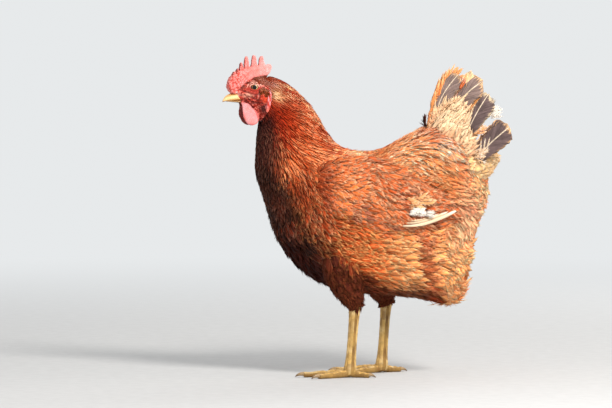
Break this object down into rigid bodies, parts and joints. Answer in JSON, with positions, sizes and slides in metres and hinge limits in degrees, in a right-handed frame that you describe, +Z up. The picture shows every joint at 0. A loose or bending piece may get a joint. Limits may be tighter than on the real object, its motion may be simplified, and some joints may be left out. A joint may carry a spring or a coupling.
{
  "type": "hen",
  "caption": "Standing brown laying hen with red comb and wattles, raised tail and folded wings, a still life-size model",
  "frame": {"origin": "on the floor, below the middle of the bird's bounding box", "axes": "+Z is up, the bird faces -X with her head turned a little to her left, and her left side is -Y"},
  "size_m": [0.3727, 0.158, 0.4188],
  "materials": {
    "plumage": "soft overlapping feathers",
    "hackle": "narrow glossy feathers",
    "tail_feather": "mottled stiff feathers",
    "comb_skin": "pebbled soft skin",
    "leg_skin": "scaled",
    "bill_horn": "satin horn",
    "claw_horn": "satin horn",
    "eye": "wet gloss"
  },
  "bodies": {
    "root": {"beak_lower": "bill_horn", "beak_upper": "bill_horn", "claw_left_1": "claw_horn", "claw_left_2": "claw_horn", "claw_left_3": "claw_horn", "claw_left_4": "claw_horn", "claw_right_1": "claw_horn", "claw_right_2": "claw_horn", "claw_right_3": "claw_horn", "claw_right_4": "claw_horn", "comb": "comb_skin", "earlobe_left": "comb_skin", "earlobe_right": "comb_skin", "eye_left": "eye", "eye_right": "eye", "head": "hackle", "neck": "hackle", "shank_left": "leg_skin", "shank_right": "leg_skin", "tail_left": "tail_feather", "tail_right": "tail_feather", "thigh_left": "plumage", "thigh_right": "plumage", "toe_left_1": "leg_skin", "toe_left_2": "leg_skin", "toe_left_3": "leg_skin", "toe_left_4": "leg_skin", "toe_right_1": "leg_skin", "toe_right_2": "leg_skin", "toe_right_3": "leg_skin", "toe_right_4": "leg_skin", "trunk": "plumage", "undertail": "plumage", "wattle_left": "comb_skin", "wattle_right": "comb_skin", "wing_left": "plumage", "wing_right": "plumage"}
  },
  "joints": []
}
